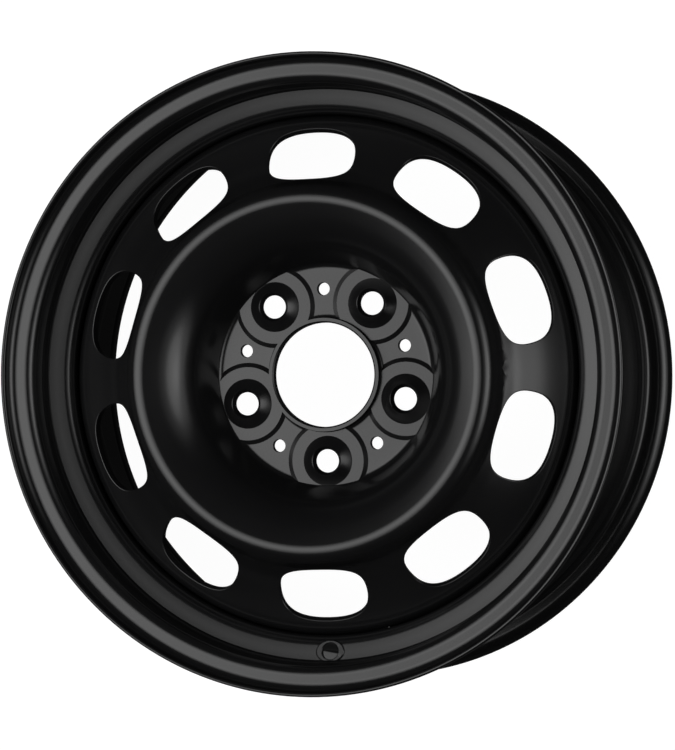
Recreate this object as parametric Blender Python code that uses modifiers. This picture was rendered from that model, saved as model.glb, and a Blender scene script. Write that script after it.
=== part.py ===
"""Pressed steel road wheel: a rolled drop-centre rim and a pressed disc, welded together.

Metres, +Z up. The wheel lies on its inboard flange: the wheel axis is +Z, the outboard face
looks up, the valve hole is at -Y, and the origin is the middle of the rim on the axis.
A section is drawn in the half plane through +X as points (radius, height).
"""

import math

import bmesh
import bpy
from mathutils import Matrix, Vector

# Fits and fineness
WELD_GAP = 0.0003
TURN_STEPS = 48
FACET_SAG = 0.00032
CUT_MARGIN = 0.004

# Rim section, a J contour with a hump on both seats
RIM_WIDTH = 0.1778
BEAD_DIAMETER = 0.4056
RIM_SHEET = 0.0030
FLANGE_HEIGHT = 0.0173
FLANGE_ROUND = 0.0095
LIP_REACH = 0.0130
BEAD_FILLET = 0.0065
SEAT_SLOPE = math.radians(5)
SEAT_WIDTH = 0.0135
HUMP_WIDTH = 0.0090
HUMP_RISE = 0.0021
LEDGE_DROP = 0.0023
LEDGE_ROUND = 0.0055
WELL_RADIUS = 0.1840
WELL_ROUND = 0.0060
WALL_INSET = 0.0275
WALL_TILT = math.radians(15)
WELL_INNER_END = 0.0100
RAMP_ROUND = 0.0140
RAMP_TOP_RADIUS = 0.1970
RAMP_TOP_HEIGHT = -0.0180
RAMP_TOP_ROUND = 0.0200

# Valve hole in the outboard wall of the well
VALVE_HOLE = 0.0115
VALVE_PAD_HEIGHT = 0.0150
VALVE_PAD_WIDTH = 0.0200
VALVE_PAD_PROUD = 0.0010
VALVE_CIRCLE = 0.1923
VALVE_ANGLE = math.radians(-89.3)

# Disc section
DISC_SHEET = 0.0045
OFFSET = 0.0400
BORE = 0.0726
COLLAR_WALL = 0.0032
COLLAR_HEIGHT = 0.0065
COLLAR_FILLET = 0.0030
HUB_EDGE_RADIUS = 0.0771
HUB_FILLET = 0.0045
BOWL_SHARE = 0.1429
BOWL_HEIGHT = 0.0452
BOWL_ROUND = 0.0480
CROWN_SHARE = 0.4691
CROWN_HEIGHT = 0.0594
CROWN_ROUND = 0.0130
FOOT_SHARE = 0.5492
FOOT_HEIGHT = 0.0406
FOOT_ROUND = 0.0055
UPPER_SHARE = 0.6322
UPPER_HEIGHT = 0.0329
LOWER_SHARE = 0.8060
LOWER_HEIGHT = 0.0222
FLANGE_TOP = 0.0145
FLANGE_BEND = 0.0130
FLANGE_LENGTH = 0.0265

# Windows in the disc
WINDOWS = 10
WINDOW_SHARE = 0.7182
WINDOW_LENGTH_SHARE = 0.6513
WINDOW_WIDTH_SHARE = 0.8910
WINDOW_FULLNESS_OUT = (0.67, 0.72)
WINDOW_FULLNESS_IN = (0.76, 0.75)
WINDOW_POINTS = 6

# Bolt circle, with its coned seats, and the plain holes between them
LUGS = 5
BOLT_CIRCLE = 0.1200
BOLT_HOLE = 0.0162
SEAT_MOUTH = 0.0204
SEAT_CONE = math.radians(60)
BOSS_CREST = 0.0219
BOSS_BASE = 0.0350
BOSS_HEIGHT = 0.0043
PAD_RISE = 0.0012
PAD_FLAT = 0.0520
PAD_SLOPE_WIDTH = 0.0030
PAD_LIMIT = 0.0020
PLAIN_HOLE = 0.0088
LUG_STEPS = 20
PAD_STEPS = 32
HOLE_STEPS = 12

# Weld beads under the disc's flange
BEADS = 10
BEAD_LENGTH = 0.0450
BEAD_RADIUS = 0.0022
BEAD_POINTS = 6


def disc_radius(share):
    """The radius at a share of the way from the hub face's edge to the disc's flange."""
    return HUB_EDGE_RADIUS + share * (DISC_FLANGE_RADIUS - HUB_EDGE_RADIUS)


# Worked out from the sizes above
HALF_WIDTH = RIM_WIDTH / 2
WALL_HEIGHT = HALF_WIDTH - WALL_INSET
BEAD_SEAT_RADIUS = BEAD_DIAMETER / 2
FLANGE_RADIUS = BEAD_SEAT_RADIUS + FLANGE_HEIGHT
WELL_INNER_RADIUS = WELL_RADIUS - RIM_SHEET
DISC_FLANGE_RADIUS = WELL_INNER_RADIUS - WELD_GAP
HUB_FRONT = OFFSET + DISC_SHEET
PAD_TOP = HUB_FRONT + PAD_RISE
COLLAR_TOP = HUB_FRONT + COLLAR_HEIGHT
DISC_FLANGE_TOP = OFFSET + FLANGE_TOP
DISC_FLANGE_END = DISC_FLANGE_TOP - FLANGE_LENGTH
UPPER_POINT = (disc_radius(UPPER_SHARE), OFFSET + UPPER_HEIGHT)
LOWER_POINT = (disc_radius(LOWER_SHARE), OFFSET + LOWER_HEIGHT)
LUG_ANGLES = [math.radians(-90) + index * math.tau / LUGS for index in range(LUGS)]
PLAIN_ANGLES = [angle + math.pi / LUGS for angle in LUG_ANGLES]


def clear_scene():
    for thing in list(bpy.data.objects):
        bpy.data.objects.remove(thing, do_unlink=True)


def new_collection(name):
    collection = bpy.data.collections.new(name)
    bpy.context.scene.collection.children.link(collection)
    return collection


def enamel(name, colour, roughness, metallic):
    material = bpy.data.materials.new(name)
    material.use_nodes = True
    shader = material.node_tree.nodes["Principled BSDF"]
    shader.inputs["Base Color"].default_value = (*colour, 1)
    shader.inputs["Roughness"].default_value = roughness
    shader.inputs["Metallic"].default_value = metallic
    return material


def arc(centre, radius, start, end):
    """Points on an arc about centre, as coarse as the facets' sag allows."""
    widest = 2 * math.acos(1 - min(FACET_SAG / radius, 0.5)) if radius > 0 else math.pi
    steps = max(1, math.ceil(abs(end - start) / widest))
    angles = [start + (end - start) * step / steps for step in range(steps + 1)]
    return [(centre[0] + radius * math.cos(a), centre[1] + radius * math.sin(a)) for a in angles]


def rounded(corners):
    """Points along a line through (radius, height, round) corners, each with its own arc."""
    spots = [Vector(corner[:2]) for corner in corners]
    points = [tuple(spots[0])]
    for index in range(1, len(spots) - 1):
        here = spots[index]
        back = spots[index - 1] - here
        ahead = spots[index + 1] - here
        turn = math.pi - back.angle(ahead)
        if corners[index][2] == 0:
            points.append(tuple(here))
            continue
        room = 0.49 * min(back.length, ahead.length)
        reach = min(corners[index][2] * math.tan(turn / 2), room)
        radius = reach / math.tan(turn / 2)
        first = here + back.normalized() * reach
        middle = here + (back.normalized() + ahead.normalized()).normalized() * (
            radius / math.cos(turn / 2))
        sense = 1 if back.x * ahead.y - back.y * ahead.x < 0 else -1
        begin = math.atan2(first.y - middle.y, first.x - middle.x)
        points += arc(middle, radius, begin, begin + sense * turn)
    points.append(tuple(spots[-1]))
    return points


def turned(name, points, steps):
    """An object whose section is turned about Z by a Screw modifier."""
    mesh = bpy.data.meshes.new(name)
    edges = [(index, index + 1) for index in range(len(points) - 1)]
    mesh.from_pydata([(radius, 0, height) for radius, height in points], edges, [])
    thing = bpy.data.objects.new(name, mesh)
    screw = thing.modifiers.new("Turn", "SCREW")
    screw.steps = steps
    screw.render_steps = steps
    screw.use_merge_vertices = True
    screw.merge_threshold = 0.00001
    screw.use_smooth_shade = True
    return thing


def solidify(thing, sheet):
    wall = thing.modifiers.new("Sheet", "SOLIDIFY")
    wall.thickness = sheet
    wall.offset = -1
    wall.use_even_offset = True


def cutter(thing, collection, matrix=None):
    """Put a helper solid in its collection, out of the render."""
    collection.objects.link(thing)
    thing.hide_render = True
    thing.display_type = "WIRE"
    if matrix is not None:
        thing.matrix_world = matrix
    return thing


def combine(thing, name, operation, collection):
    boolean = thing.modifiers.new(name, "BOOLEAN")
    boolean.operation = operation
    boolean.operand_type = "COLLECTION"
    boolean.collection = collection
    boolean.solver = "EXACT"


def cylinder(name, radius, bottom, top, steps):
    mesh = bpy.data.meshes.new(name)
    shape = bmesh.new()
    bmesh.ops.create_cone(shape, cap_ends=True, segments=steps, radius1=radius,
                          radius2=radius, depth=top - bottom)
    bmesh.ops.translate(shape, verts=shape.verts, vec=(0, 0, (top + bottom) / 2))
    shape.to_mesh(mesh)
    shape.free()
    return bpy.data.objects.new(name, mesh)


def ring_place(radius, angle, height=0.0):
    spot = Vector((radius * math.cos(angle), radius * math.sin(angle), height))
    return Matrix.Translation(spot) @ Matrix.Rotation(angle, 4, "Z")


def rim_side(side):
    """One bead seat with its flange and hump, from the lip inwards, on side +1 or -1."""
    lip_centre = (FLANGE_RADIUS - FLANGE_ROUND, HALF_WIDTH + FLANGE_ROUND)
    lip_angle = math.asin((LIP_REACH - FLANGE_ROUND) / FLANGE_ROUND)
    lip = arc(lip_centre, FLANGE_ROUND, lip_angle, -math.pi / 2)
    hump_start = HALF_WIDTH - SEAT_WIDTH
    hump_crest = hump_start - HUMP_WIDTH / 2
    hump_end = hump_start - HUMP_WIDTH
    seat_end_radius = BEAD_SEAT_RADIUS - SEAT_WIDTH * math.tan(SEAT_SLOPE)
    ledge_radius = BEAD_SEAT_RADIUS - LEDGE_DROP
    corners = [
        (*lip[-1], 0),
        (BEAD_SEAT_RADIUS, HALF_WIDTH, BEAD_FILLET),
        (seat_end_radius, hump_start, 0),
        (seat_end_radius + HUMP_RISE, hump_crest, 0),
        (ledge_radius, hump_end, 0),
    ]
    lip = [(radius, side * height) for radius, height in lip]
    corners = [(radius, side * height, size) for radius, height, size in corners]
    return lip, corners


def make_rim(collection, cuts, adds):
    """The rolled rim: its tyre side turned about the axis, with the sheet inside it."""
    outer_lip, outer_side = rim_side(1)
    inner_lip, inner_side = rim_side(-1)
    ledge_radius = BEAD_SEAT_RADIUS - LEDGE_DROP
    wall_foot = WALL_HEIGHT - (ledge_radius - WELL_RADIUS) * math.tan(WALL_TILT)
    middle = [
        (ledge_radius, WALL_HEIGHT, LEDGE_ROUND),
        (WELL_RADIUS, wall_foot, WELL_ROUND),
        (WELL_RADIUS, WELL_INNER_END, RAMP_ROUND),
        (RAMP_TOP_RADIUS, RAMP_TOP_HEIGHT, RAMP_TOP_ROUND),
    ]
    line = rounded(outer_side + middle + inner_side[::-1])
    section = outer_lip[:-1] + line + inner_lip[::-1][1:]
    rim = turned("rim", section, TURN_STEPS)
    collection.objects.link(rim)
    solidify(rim, RIM_SHEET)

    pad_height = WALL_HEIGHT - (ledge_radius - VALVE_CIRCLE) * math.tan(WALL_TILT)
    place = ring_place(VALVE_CIRCLE, VALVE_ANGLE, pad_height)
    place = place @ Matrix.Rotation(-WALL_TILT, 4, "Y")
    pad_top = RIM_SHEET + VALVE_PAD_PROUD
    pad = cylinder("valve_pad", VALVE_PAD_HEIGHT / 2, RIM_SHEET / 2, pad_top, LUG_STEPS)
    hole = cylinder("valve_hole", VALVE_HOLE / 2, -CUT_MARGIN, pad_top + CUT_MARGIN, LUG_STEPS)
    widen = Matrix.Diagonal((1, VALVE_PAD_WIDTH / VALVE_PAD_HEIGHT, 1, 1))
    cutter(pad, adds, place @ widen)
    cutter(hole, cuts, place)
    combine(rim, "Valve pad", "UNION", adds)
    combine(rim, "Valve hole", "DIFFERENCE", cuts)
    return rim


def disc_section():
    """The disc's outboard face, from the top of the bore collar out to the end of its flange."""
    collar_radius = BORE / 2 + COLLAR_WALL
    return rounded([
        (collar_radius, COLLAR_TOP, 0),
        (collar_radius, HUB_FRONT, COLLAR_FILLET),
        (HUB_EDGE_RADIUS, HUB_FRONT, HUB_FILLET),
        (disc_radius(BOWL_SHARE), OFFSET + BOWL_HEIGHT, BOWL_ROUND),
        (disc_radius(CROWN_SHARE), OFFSET + CROWN_HEIGHT, CROWN_ROUND),
        (disc_radius(FOOT_SHARE), OFFSET + FOOT_HEIGHT, FOOT_ROUND),
        (*UPPER_POINT, 0),
        (*LOWER_POINT, 0),
        (DISC_FLANGE_RADIUS, DISC_FLANGE_TOP, FLANGE_BEND),
        (DISC_FLANGE_RADIUS, DISC_FLANGE_END, 0),
    ])


def window_cutter(name, angle):
    """A rounded slot, longer around the wheel, punched square to the disc's sloping shoulder."""
    radius = disc_radius(WINDOW_SHARE)
    half_length = WINDOW_LENGTH_SHARE * math.pi * radius / WINDOWS
    half_width = WINDOW_WIDTH_SHARE * (DISC_FLANGE_RADIUS - disc_radius(FOOT_SHARE)) / 2
    outline = bpy.data.curves.new(name, "CURVE")
    outline.dimensions = "2D"
    outline.fill_mode = "BOTH"
    outline.extrude = DISC_SHEET + 2 * CUT_MARGIN
    outline.resolution_u = WINDOW_POINTS
    spline = outline.splines.new("BEZIER")
    spline.bezier_points.add(3)
    spline.use_cyclic_u = True
    out_along, out_across = WINDOW_FULLNESS_OUT
    in_along, in_across = WINDOW_FULLNESS_IN
    knots = [
        ((half_width, 0), (half_width, -out_along * half_length),
         (half_width, out_along * half_length)),
        ((0, half_length), (out_across * half_width, half_length),
         (-in_across * half_width, half_length)),
        ((-half_width, 0), (-half_width, in_along * half_length),
         (-half_width, -in_along * half_length)),
        ((0, -half_length), (-in_across * half_width, -half_length),
         (out_across * half_width, -half_length)),
    ]
    for knot, (spot, left, right) in zip(spline.bezier_points, knots):
        knot.handle_left_type = knot.handle_right_type = "FREE"
        knot.co = (*spot, 0)
        knot.handle_left = (*left, 0)
        knot.handle_right = (*right, 0)
    curve = bpy.data.objects.new(name + "_outline", outline)
    bpy.context.scene.collection.objects.link(curve)
    bpy.context.view_layer.update()
    mesh = bpy.data.meshes.new_from_object(curve.evaluated_get(bpy.context.evaluated_depsgraph_get()))
    bpy.data.objects.remove(curve, do_unlink=True)
    shape = bmesh.new()
    shape.from_mesh(mesh)
    bmesh.ops.remove_doubles(shape, verts=shape.verts, dist=0.00001)
    bmesh.ops.recalc_face_normals(shape, faces=shape.faces)
    shape.to_mesh(mesh)
    shape.free()
    fall = (UPPER_POINT[1] - LOWER_POINT[1]) / (LOWER_POINT[0] - UPPER_POINT[0])
    height = UPPER_POINT[1] - fall * (radius - UPPER_POINT[0])
    place = ring_place(radius, angle, height) @ Matrix.Rotation(math.atan(fall), 4, "Y")
    return bpy.data.objects.new(name, mesh), place


def seat_depth():
    return (SEAT_MOUTH - BOLT_HOLE) / 2 / math.tan(SEAT_CONE / 2)


def lug_form(name):
    """What the press raises round one bolt hole: a low round pad with a coned boss on it."""
    crest = PAD_TOP + BOSS_HEIGHT
    root = HUB_FRONT - DISC_SHEET / 4
    flat = PAD_FLAT / 2
    return turned(name, [
        (0, crest),
        (BOSS_CREST / 2, crest),
        (BOSS_BASE / 2, PAD_TOP),
        (flat, PAD_TOP),
        (flat + PAD_SLOPE_WIDTH, HUB_FRONT - PAD_RISE / 10),
        (flat + PAD_SLOPE_WIDTH, root),
        (0, root),
    ], PAD_STEPS)


def lug_cut(name):
    """The bolt hole with its coned seat above and the hollow of the pressing below."""
    crest = PAD_TOP + BOSS_HEIGHT
    hole = BOLT_HOLE / 2
    seat_foot = crest - seat_depth()
    lean = math.atan2((BOSS_BASE - BOSS_CREST) / 2, BOSS_HEIGHT)
    hollow_base = BOSS_BASE / 2 - DISC_SHEET / math.cos(lean) * (1 - math.sin(lean))
    ceiling = OFFSET + PAD_RISE
    hollow_top = ceiling + (hollow_base - hole - CUT_MARGIN / 8) / math.tan(lean)
    below = OFFSET - CUT_MARGIN
    mouth = SEAT_MOUTH / 2
    return turned(name, [
        (0, crest + CUT_MARGIN),
        (mouth, crest + CUT_MARGIN),
        (mouth, crest),
        (hole, seat_foot),
        (hole, hollow_top),
        (hollow_base, ceiling),
        (PAD_FLAT / 2 - DISC_SHEET / 2, ceiling),
        (PAD_FLAT / 2, OFFSET),
        (PAD_FLAT / 2, below),
        (0, below),
    ], LUG_STEPS)


def make_disc(collection, adds, limit, cuts):
    """The pressed disc: hub face, bowl, crown and sloping shoulder in one sheet."""
    disc = turned("disc", disc_section(), TURN_STEPS)
    collection.objects.link(disc)
    solidify(disc, DISC_SHEET)

    pads = turned("pad_limit", [
        (0, COLLAR_TOP + BOSS_HEIGHT),
        (HUB_EDGE_RADIUS + PAD_LIMIT, COLLAR_TOP + BOSS_HEIGHT),
        (HUB_EDGE_RADIUS + PAD_LIMIT, OFFSET),
        (0, OFFSET),
    ], TURN_STEPS)
    cutter(pads, limit)
    for index, angle in enumerate(LUG_ANGLES):
        place = ring_place(BOLT_CIRCLE / 2, angle)
        form = cutter(lug_form(f"lug_form_{index + 1}"), adds, place)
        combine(form, "Hub face", "INTERSECT", limit)
        cutter(lug_cut(f"lug_cut_{index + 1}"), cuts, place)
    for index, angle in enumerate(PLAIN_ANGLES):
        hole = cylinder(f"plain_hole_{index + 1}", PLAIN_HOLE / 2, OFFSET - CUT_MARGIN,
                        PAD_TOP + CUT_MARGIN, HOLE_STEPS)
        cutter(hole, cuts, ring_place(BOLT_CIRCLE / 2, angle))
    bore = cylinder("bore", BORE / 2, OFFSET - 2 * CUT_MARGIN, COLLAR_TOP + 2 * CUT_MARGIN,
                    TURN_STEPS)
    cutter(bore, cuts)
    for index in range(WINDOWS):
        angle = LUG_ANGLES[0] + index * math.tau / WINDOWS
        window, place = window_cutter(f"window_{index + 1}", angle)
        cutter(window, cuts, place)
    combine(disc, "Lug pads", "UNION", adds)
    combine(disc, "Holes", "DIFFERENCE", cuts)
    return disc


def make_bead(collection, index):
    """One weld bead in the corner between the end of the disc's flange and the well."""
    name = f"weld_bead_{index + 1}"
    flats = WELL_INNER_RADIUS * math.cos(math.pi / TURN_STEPS)
    radius = flats - WELD_GAP - BEAD_RADIUS
    height = DISC_FLANGE_END - WELD_GAP - BEAD_RADIUS
    middle = LUG_ANGLES[0] + (index + 0.5) * math.tau / BEADS
    sweep = BEAD_LENGTH / radius
    line = bpy.data.curves.new(name, "CURVE")
    line.dimensions = "3D"
    line.bevel_depth = BEAD_RADIUS
    line.bevel_resolution = 1
    line.use_fill_caps = True
    spline = line.splines.new("POLY")
    spline.points.add(BEAD_POINTS - 1)
    for step, point in enumerate(spline.points):
        angle = middle + sweep * (step / (BEAD_POINTS - 1) - 0.5)
        point.co = (radius * math.cos(angle), radius * math.sin(angle), height, 1)
    bead = bpy.data.objects.new(name, line)
    collection.objects.link(bead)
    return bead


def main():
    clear_scene()
    wheel = new_collection("steel_wheel")
    helpers = {}
    for name in ("valve_pads", "rim_cuts", "lug_forms", "hub_limit", "disc_cuts"):
        helpers[name] = new_collection(name)
    rim = make_rim(wheel, helpers["rim_cuts"], helpers["valve_pads"])
    disc = make_disc(wheel, helpers["lug_forms"], helpers["hub_limit"], helpers["disc_cuts"])
    rim.data.materials.append(enamel("rim_enamel", (0.012, 0.012, 0.013), 0.28, 0.0))
    disc.data.materials.append(enamel("disc_enamel", (0.012, 0.012, 0.013), 0.26, 0.0))
    for index in range(BEADS):
        bead = make_bead(wheel, index)
        bead.data.materials.append(enamel(bead.name + "_enamel", (0.014, 0.014, 0.015), 0.38, 0.0))


main()
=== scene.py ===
"""Pressed steel road wheel in black enamel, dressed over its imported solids.

The wheel lies on its inboard flange with its axis along +Z. Sections are drawn in the half
plane through +X as stations (radius, height, normal radius, normal height).
"""

import math

import bmesh
import bpy
from bpy.props import FloatProperty, FloatVectorProperty, IntProperty, PointerProperty
from mathutils import Matrix, Vector


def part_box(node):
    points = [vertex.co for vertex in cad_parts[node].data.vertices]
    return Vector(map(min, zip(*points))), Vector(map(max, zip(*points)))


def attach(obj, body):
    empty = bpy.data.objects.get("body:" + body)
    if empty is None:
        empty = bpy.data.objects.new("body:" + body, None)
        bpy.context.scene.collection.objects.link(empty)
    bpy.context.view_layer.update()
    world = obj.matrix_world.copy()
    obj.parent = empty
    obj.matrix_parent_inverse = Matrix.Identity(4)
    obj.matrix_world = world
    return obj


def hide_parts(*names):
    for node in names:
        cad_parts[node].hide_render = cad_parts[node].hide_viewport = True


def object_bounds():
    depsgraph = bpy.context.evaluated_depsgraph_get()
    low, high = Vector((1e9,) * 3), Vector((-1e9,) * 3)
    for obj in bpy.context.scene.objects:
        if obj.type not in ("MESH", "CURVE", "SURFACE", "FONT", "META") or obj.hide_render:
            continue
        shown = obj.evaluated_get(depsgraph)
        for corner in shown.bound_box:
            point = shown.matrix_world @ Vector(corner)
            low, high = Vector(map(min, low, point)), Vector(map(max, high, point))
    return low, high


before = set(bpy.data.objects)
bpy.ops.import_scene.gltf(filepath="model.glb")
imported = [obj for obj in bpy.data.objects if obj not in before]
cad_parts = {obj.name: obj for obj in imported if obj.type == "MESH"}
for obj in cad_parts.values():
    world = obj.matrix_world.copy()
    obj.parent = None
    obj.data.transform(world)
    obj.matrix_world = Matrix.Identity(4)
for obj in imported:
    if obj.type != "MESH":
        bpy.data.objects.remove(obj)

bl_info = {
    "name": "Pressed Steel Wheel",
    "version": (1, 0, 0),
    "blender": (4, 5, 0),
    "location": "3D View > Sidebar > Steel Wheel",
    "description": "Builds the finished surfaces of a pressed steel road wheel",
    "category": "Object",
}

CAD_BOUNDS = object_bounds()
BEAD_NODES = sorted(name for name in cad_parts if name.startswith("weld_bead"))

# How fine the meshes are
TURN_STEPS = 240
RIM_TURN_STEPS = 210
LUG_TURN_STEPS = 96
ARC_STEP = math.radians(4.5)
LONGEST_CHORD = 0.0030
CORNER_STEPS = 4
TINY = 0.00001
RIM_SHARP, DISC_SHARP, BEAD_SHARP = 24, 9, 40

SEAT_ROUND = 0.0060
HUMP_ROUND = 0.0045
LEDGE_ROUND = 0.0055
WELL_ROUND = 0.0060
WELL_INNER_END = 0.0100
RAMP_ROUND = 0.0140
LIP_EDGE_ROUND = 0.0012
VALVE_PAD_RISE = 0.0010
VALVE_PAD_STRETCH = 1.3
WELD_GAP = 0.0003

# Corners of the sections, as (radius, height, round). On the disc, heights start at its
# mounting face.
RAMP_TOP = (0.1970, -0.0180, 0.0200)
BOWL_WALL = (0.0919, 0.0452, 0.0480)
CROWN = (0.1257, 0.0594, 0.0130)
SHOULDER_FOOT = (0.1340, 0.0406, 0.0055)
UPPER_SHOULDER = (0.1426, 0.0329, 0.0400)
LOWER_SHOULDER = (0.1606, 0.0222, 0.1100)
FLANGE_TOP = 0.0145
FLANGE_BEND = 0.0130
FLANGE_END = -0.0120

FIRST_LUG = math.radians(-90)
HUB_EDGE = 0.0771
HUB_FILLET = 0.0045
HUB_LIMIT = 0.0791
COLLAR_WALL = 0.0032
COLLAR_RISE = 0.0065
COLLAR_FILLET = 0.0030
PAD_RISE = 0.0012
PAD_TOP_RADIUS = 0.0257
PAD_FOOT_RADIUS = 0.0290
CREST_RISE = 0.0055
CUT_MARGIN = 0.0040

# The windows' sectors, from the shoulder's foot to its outer bend
RISING_FROM = 0.10
SECTOR_INNER = 0.1315
SECTOR_OUTER = 0.1740
SLOPE_CELLS = 20
SECTOR_RINGS = 9
PUNCH_TRIES = 12
PUNCH_ROUND = 0.0007
# How full the slots' quarters are (along, across), where an ellipse has about 0.55
FULLNESS_OUT = (0.67, 0.72)
FULLNESS_IN = (0.76, 0.75)

# The weld beads
BEAD_LENGTH = 0.0440
BEAD_GIRTH = 0.0025
BEAD_SINK = 0.0024
BEAD_LIFT = 0.0004
RIPPLE_PITCH = 0.0022
RIPPLE_DEPTH = 0.10
BEAD_SLICES = 80
BEAD_SIDES = 14

# The camera, the floor and the lamps
PHOTO_HEIGHT = 750
SENSOR_WIDTH = 36
CAMERA_REACH = 50
FLOOR_HALF_SIZE = 6
FLOOR_GLOW = 0.9716
FLOOR_SHADOW_TONE = 0.16
MIRRORED_WHITE = 0.01  # the share of the white background that the enamel mirrors
LAMP_DISTANCE = 2.5
# Each soft box fades outwards, as ovals of (azimuth, half spread, half rise, radiance)
SOFT_BOXES = {
    "front_box": ((-25, 7.3, 9.5, 2.90), (-25, 13.2, 17.1, 2.48), (-25, 19.0, 24.8, 1.66),
                  (-25, 26.3, 34.3, 1.07)),
    "front_wing": ((-45, 7.0, 11.0, 0.50),),
    "side_box": ((65, 6.0, 5.0, 1.50), (65, 11.0, 9.0, 1.20), (58, 20.0, 13.0, 1.25),
                 (65, 25.0, 24.0, 0.55), (63, 31.0, 34.0, 0.35)),
}


class RimSizes(bpy.types.PropertyGroup):
    """Sizes of the rolled rim."""
    width: FloatProperty(name="Width", description="Between the tyre sides of the flanges",
                         default=0.1778, unit="LENGTH")
    seat_radius: FloatProperty(name="Bead seat radius", description="At the flange",
                               default=0.2028, unit="LENGTH")
    sheet: FloatProperty(name="Sheet", description="Thickness of the rolled strip",
                         default=0.0030, unit="LENGTH")
    flange_height: FloatProperty(name="Flange height", description="From the bead seat",
                                 default=0.0173, unit="LENGTH")
    flange_round: FloatProperty(name="Flange round", description="Outer round of the lip",
                                default=0.0095, unit="LENGTH")
    lip_reach: FloatProperty(name="Lip reach", description="Flange face to lip end",
                             default=0.0130, unit="LENGTH")
    bead_fillet: FloatProperty(name="Bead fillet", description="Round between seat and flange",
                               default=0.0065, unit="LENGTH")
    seat_slope: FloatProperty(name="Seat slope", description="Taper of the bead seats",
                              default=math.radians(5), subtype="ANGLE")
    seat_width: FloatProperty(name="Seat width", description="Flange face to hump",
                              default=0.0135, unit="LENGTH")
    hump_width: FloatProperty(name="Hump width", description="Along the axis",
                              default=0.0090, unit="LENGTH")
    hump_rise: FloatProperty(name="Hump rise", description="Above the seat's end",
                             default=0.0021, unit="LENGTH")
    ledge_drop: FloatProperty(name="Ledge drop", description="Ledge below the bead seat",
                              default=0.0023, unit="LENGTH")
    well_radius: FloatProperty(name="Well radius", description="Tyre side of the well",
                               default=0.1840, unit="LENGTH")
    wall_height: FloatProperty(name="Wall height", description="Outboard wall's top corner",
                               default=0.0614, unit="LENGTH")
    wall_tilt: FloatProperty(name="Wall tilt", description="Slope of the wall to the axis",
                             default=math.radians(15), subtype="ANGLE")
    valve_hole: FloatProperty(name="Valve hole", description="Diameter of the valve hole",
                              default=0.0115, unit="LENGTH")
    valve_circle: FloatProperty(name="Valve circle", description="Radius of the hole's centre",
                                default=0.1923, unit="LENGTH")
    valve_angle: FloatProperty(name="Valve angle", description="Place round the wheel",
                               default=math.radians(-89.3), subtype="ANGLE")


class DiscSizes(bpy.types.PropertyGroup):
    """Sizes of the pressed disc."""
    sheet: FloatProperty(name="Sheet", description="Thickness of the disc",
                         default=0.0045, unit="LENGTH")
    offset: FloatProperty(name="Offset", description="Hub face from the rim's middle",
                          default=0.0400, unit="LENGTH")
    bore: FloatProperty(name="Bore", description="Diameter of the centring bore",
                        default=0.0726, unit="LENGTH")
    bolt_circle: FloatProperty(name="Bolt circle", description="Diameter through the bolt holes",
                               default=0.1200, unit="LENGTH")
    bolt_hole: FloatProperty(name="Bolt hole", description="Diameter below the coned seat",
                             default=0.0162, unit="LENGTH")
    plain_hole: FloatProperty(name="Plain hole", description="Diameter of the small holes",
                              default=0.0088, unit="LENGTH")
    lugs: IntProperty(name="Bolt holes", description="How many bolt holes", default=5)
    windows: IntProperty(name="Windows", description="How many windows", default=10)
    window_length: FloatProperty(name="Window length", description="Around the wheel",
                                 default=0.0620, unit="LENGTH")
    window_width: FloatProperty(name="Window width", description="Along the shoulder's slope",
                                default=0.0416, unit="LENGTH")
    window_inset: FloatProperty(name="Window inset", description="Flange to window centre",
                                default=0.0292, unit="LENGTH")


class FinishSettings(bpy.types.PropertyGroup):
    """Colours of the enamel."""
    enamel: FloatVectorProperty(name="Enamel", description="Black enamel of the wheel",
                                subtype="COLOR", size=3, default=(0.0050, 0.0050, 0.0052))
    gloss_low: FloatProperty(name="Smoothest", description="Lowest roughness", default=0.19)
    gloss_high: FloatProperty(name="Roughest", description="Highest roughness", default=0.25)
    floor: FloatVectorProperty(name="Floor", description="Pale floor under the wheel",
                               subtype="COLOR", size=3, default=(0.03, 0.03, 0.03))


class StageSettings(bpy.types.PropertyGroup):
    """Camera fitted to the photograph, and the turn of the photo's wheel about its axis."""
    focal_pixels: FloatProperty(name="Focal length", description="In pixels of the photo",
                                default=3309.9)
    distance: FloatProperty(name="Camera distance", description="From the rim's middle",
                            default=2.3506, unit="LENGTH")
    yaw: FloatProperty(name="Camera yaw", description="Off the wheel axis, to the right",
                       default=math.radians(15.073), subtype="ANGLE")
    pitch: FloatProperty(name="Camera pitch", description="Off the wheel axis, downwards",
                         default=math.radians(0.624), subtype="ANGLE")
    shift_x: FloatProperty(name="Aim right", description="Sideways offset of the camera",
                           default=-0.00349, unit="LENGTH")
    shift_y: FloatProperty(name="Aim up", description="Upward offset of the camera",
                           default=0.00029, unit="LENGTH")
    turn: FloatProperty(name="Wheel turn", description="The photo's wheel about its axis",
                        default=math.radians(1.69), subtype="ANGLE")


def wheel_collection():
    """The collection that the finished pieces go in."""
    name = "finished_wheel"
    collection = bpy.data.collections.get(name)
    if collection is None:
        collection = bpy.data.collections.new(name)
        bpy.context.scene.collection.children.link(collection)
    return collection


# Sections

def arc_stations(middle, radius, begin, sweep, outward):
    """Stations on an arc, with normals along the radius, outward or inward."""
    steps = max(2, math.ceil(max(abs(sweep) / ARC_STEP, abs(sweep) * radius / LONGEST_CHORD)))
    stations = []
    for step in range(steps + 1):
        angle = begin + sweep * step / steps
        cosine, sine = math.cos(angle), math.sin(angle)
        stations.append((middle[0] + radius * cosine, middle[1] + radius * sine,
                         outward * cosine, outward * sine))
    return stations


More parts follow.
